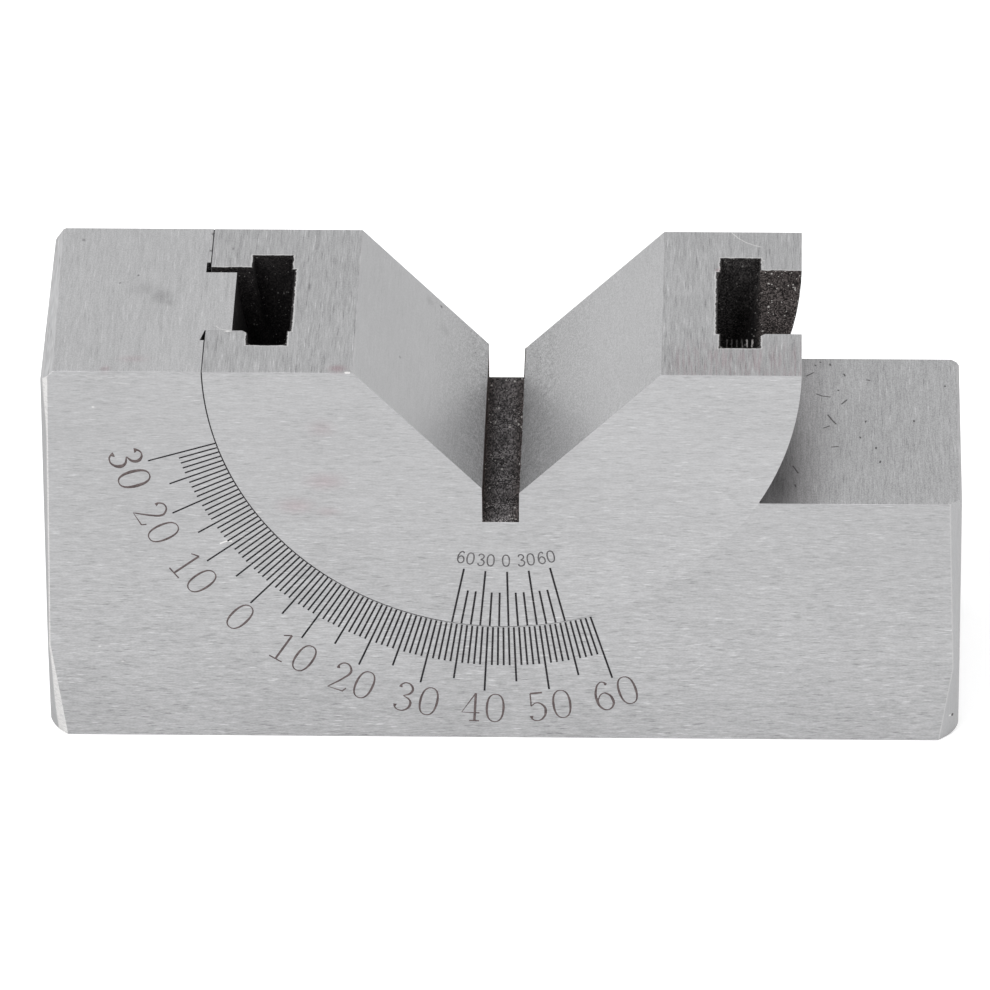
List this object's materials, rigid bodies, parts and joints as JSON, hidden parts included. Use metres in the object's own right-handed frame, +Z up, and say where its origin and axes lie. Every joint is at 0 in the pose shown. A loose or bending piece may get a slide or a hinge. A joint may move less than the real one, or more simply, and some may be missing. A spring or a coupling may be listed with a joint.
{
  "type": "adjustable angle v-block",
  "caption": "Ground steel angle V-block: a graduated base with a cylindrical seat holds a tilting V saddle, locked from below by a socket screw and a curved clamp shoe.",
  "frame": {"origin": "middle of the base's underside", "axes": "+X to the right, towards the low ledge; +Y to the back, along the swivel axis and the V; +Z up"},
  "size_m": [0.1, 0.032, 0.046],
  "materials": {
    "ground_steel": "ground",
    "clamp_steel": "black oxide"
  },
  "bodies": {
    "base": {"base_block": "ground_steel"},
    "saddle": {"v_saddle": "ground_steel"},
    "shoe": {"clamp_shoe": "clamp_steel"},
    "screw": {"clamp_screw": "clamp_steel"}
  },
  "joints": [
    {"name": "saddle_tilt", "type": "hinge", "parent": "base", "child": "saddle", "pos_m": [0, 0, 0.04665], "axis": [0, 1, 0], "range_deg": [-16, 74]},
    {"name": "screw_turn", "type": "hinge", "parent": "base", "child": "screw", "pos_m": [0, 0, 0.0065], "axis": [0, 0, -1], "range_deg": [0, 180]},
    {"name": "shoe_lift", "type": "slide", "parent": "base", "child": "shoe", "axis": [0, 0, 1], "range_m": [0, 0.0005]}
  ],
  "couplings": [
    {"joint": "screw_turn", "follows": "shoe_lift", "rad_per_m": 6283.2}
  ]
}
